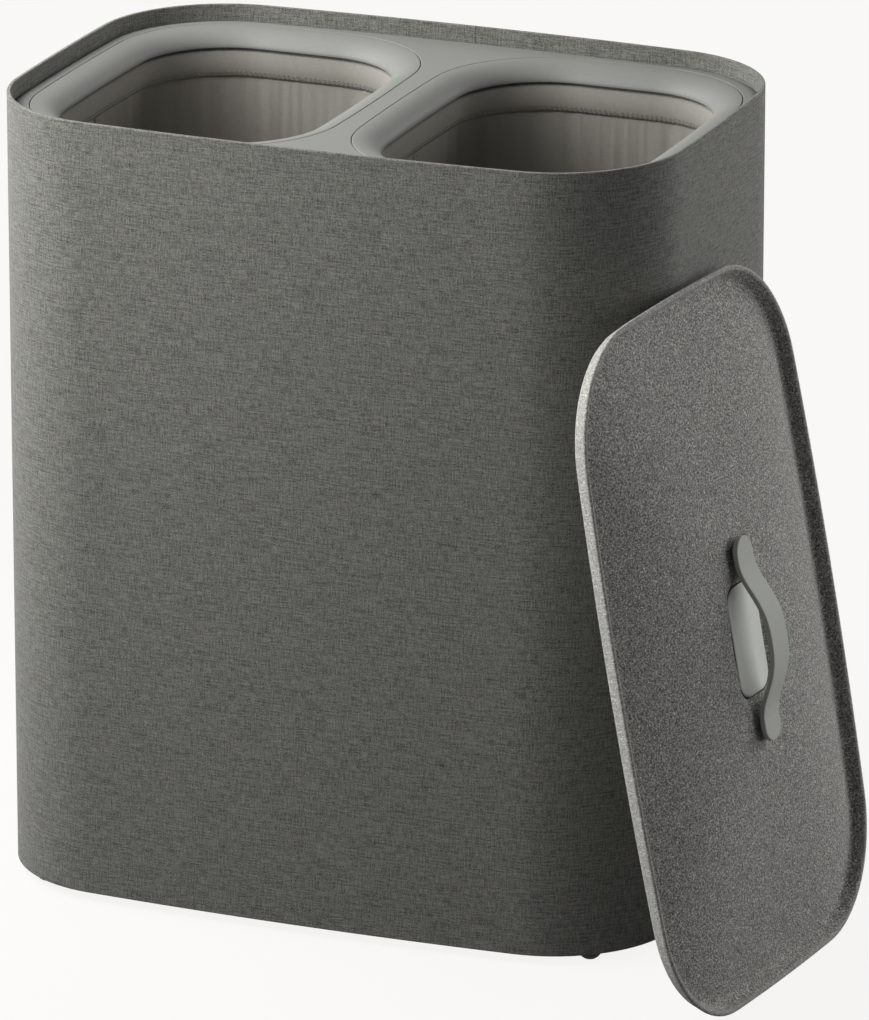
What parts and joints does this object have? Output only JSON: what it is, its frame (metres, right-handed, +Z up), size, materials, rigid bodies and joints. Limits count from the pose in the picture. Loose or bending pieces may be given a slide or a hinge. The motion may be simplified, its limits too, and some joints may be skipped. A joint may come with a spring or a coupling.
{
  "type": "laundry hamper",
  "caption": "Laundry hamper: linen-covered sleeve with a recessed deck, lift-out fabric bags on moulded rings and a domed felt lid leaning at its side.",
  "frame": {"origin": "on the floor, under the middle of the whole object with its lid leaning at its right side", "axes": "+Z up, -Y towards the front long side of the hamper, +X towards the side that the lid leans on"},
  "size_m": [0.6964, 0.5166, 0.66],
  "materials": {
    "linen_cover": "woven linen look bonded to a stiff sheet, matt, with darker level slubs",
    "base_plastic": "dark moulded plastic",
    "foot_rubber": "near black rubber",
    "deck_plastic": "warm grey fine satin moulding",
    "bag_fabric": "warm mid grey plain weave",
    "board_plastic": "stiff dark board",
    "bag_webbing": "ribbed flat webbing",
    "lid_felt": "pressed felt in mixed greys",
    "pad_plastic": "light grey satin moulding",
    "handle_plastic": "soft grey satin moulding",
    "screw_steel": "plain steel"
  },
  "bodies": {
    "hamper_body": {"outer_sleeve": "linen_cover", "base_tray": "base_plastic", "foot_front_left": "foot_rubber", "foot_front_right": "foot_rubber", "foot_back_left": "foot_rubber", "foot_back_right": "foot_rubber", "top_deck": "deck_plastic"},
    "left_bag_unit": {"left_bag_ring": "deck_plastic", "left_bag_hoop": "base_plastic", "left_bag": "bag_fabric", "left_bag_board": "board_plastic", "left_bag_handle_front": "bag_webbing", "left_bag_handle_back": "bag_webbing"},
    "right_bag_unit": {"right_bag_ring": "deck_plastic", "right_bag_hoop": "base_plastic", "right_bag": "bag_fabric", "right_bag_board": "board_plastic", "right_bag_handle_front": "bag_webbing", "right_bag_handle_back": "bag_webbing"},
    "lid": {"lid_felt": "lid_felt", "lid_finger_plate": "pad_plastic", "lid_handle": "handle_plastic", "lid_screw_upper": "screw_steel", "lid_screw_lower": "screw_steel"}
  },
  "joints": [
    {"name": "left_bag_lift", "type": "slide", "parent": "hamper_body", "child": "left_bag_unit", "axis": [0, 0, 1], "range_m": [0, 0.66]},
    {"name": "right_bag_lift", "type": "slide", "parent": "hamper_body", "child": "right_bag_unit", "axis": [0, 0, 1], "range_m": [0, 0.66]},
    {"name": "lid_lift", "type": "slide", "parent": "hamper_body", "child": "lid", "axis": [0, 0, 1], "range_m": [0, 0.7]}
  ]
}
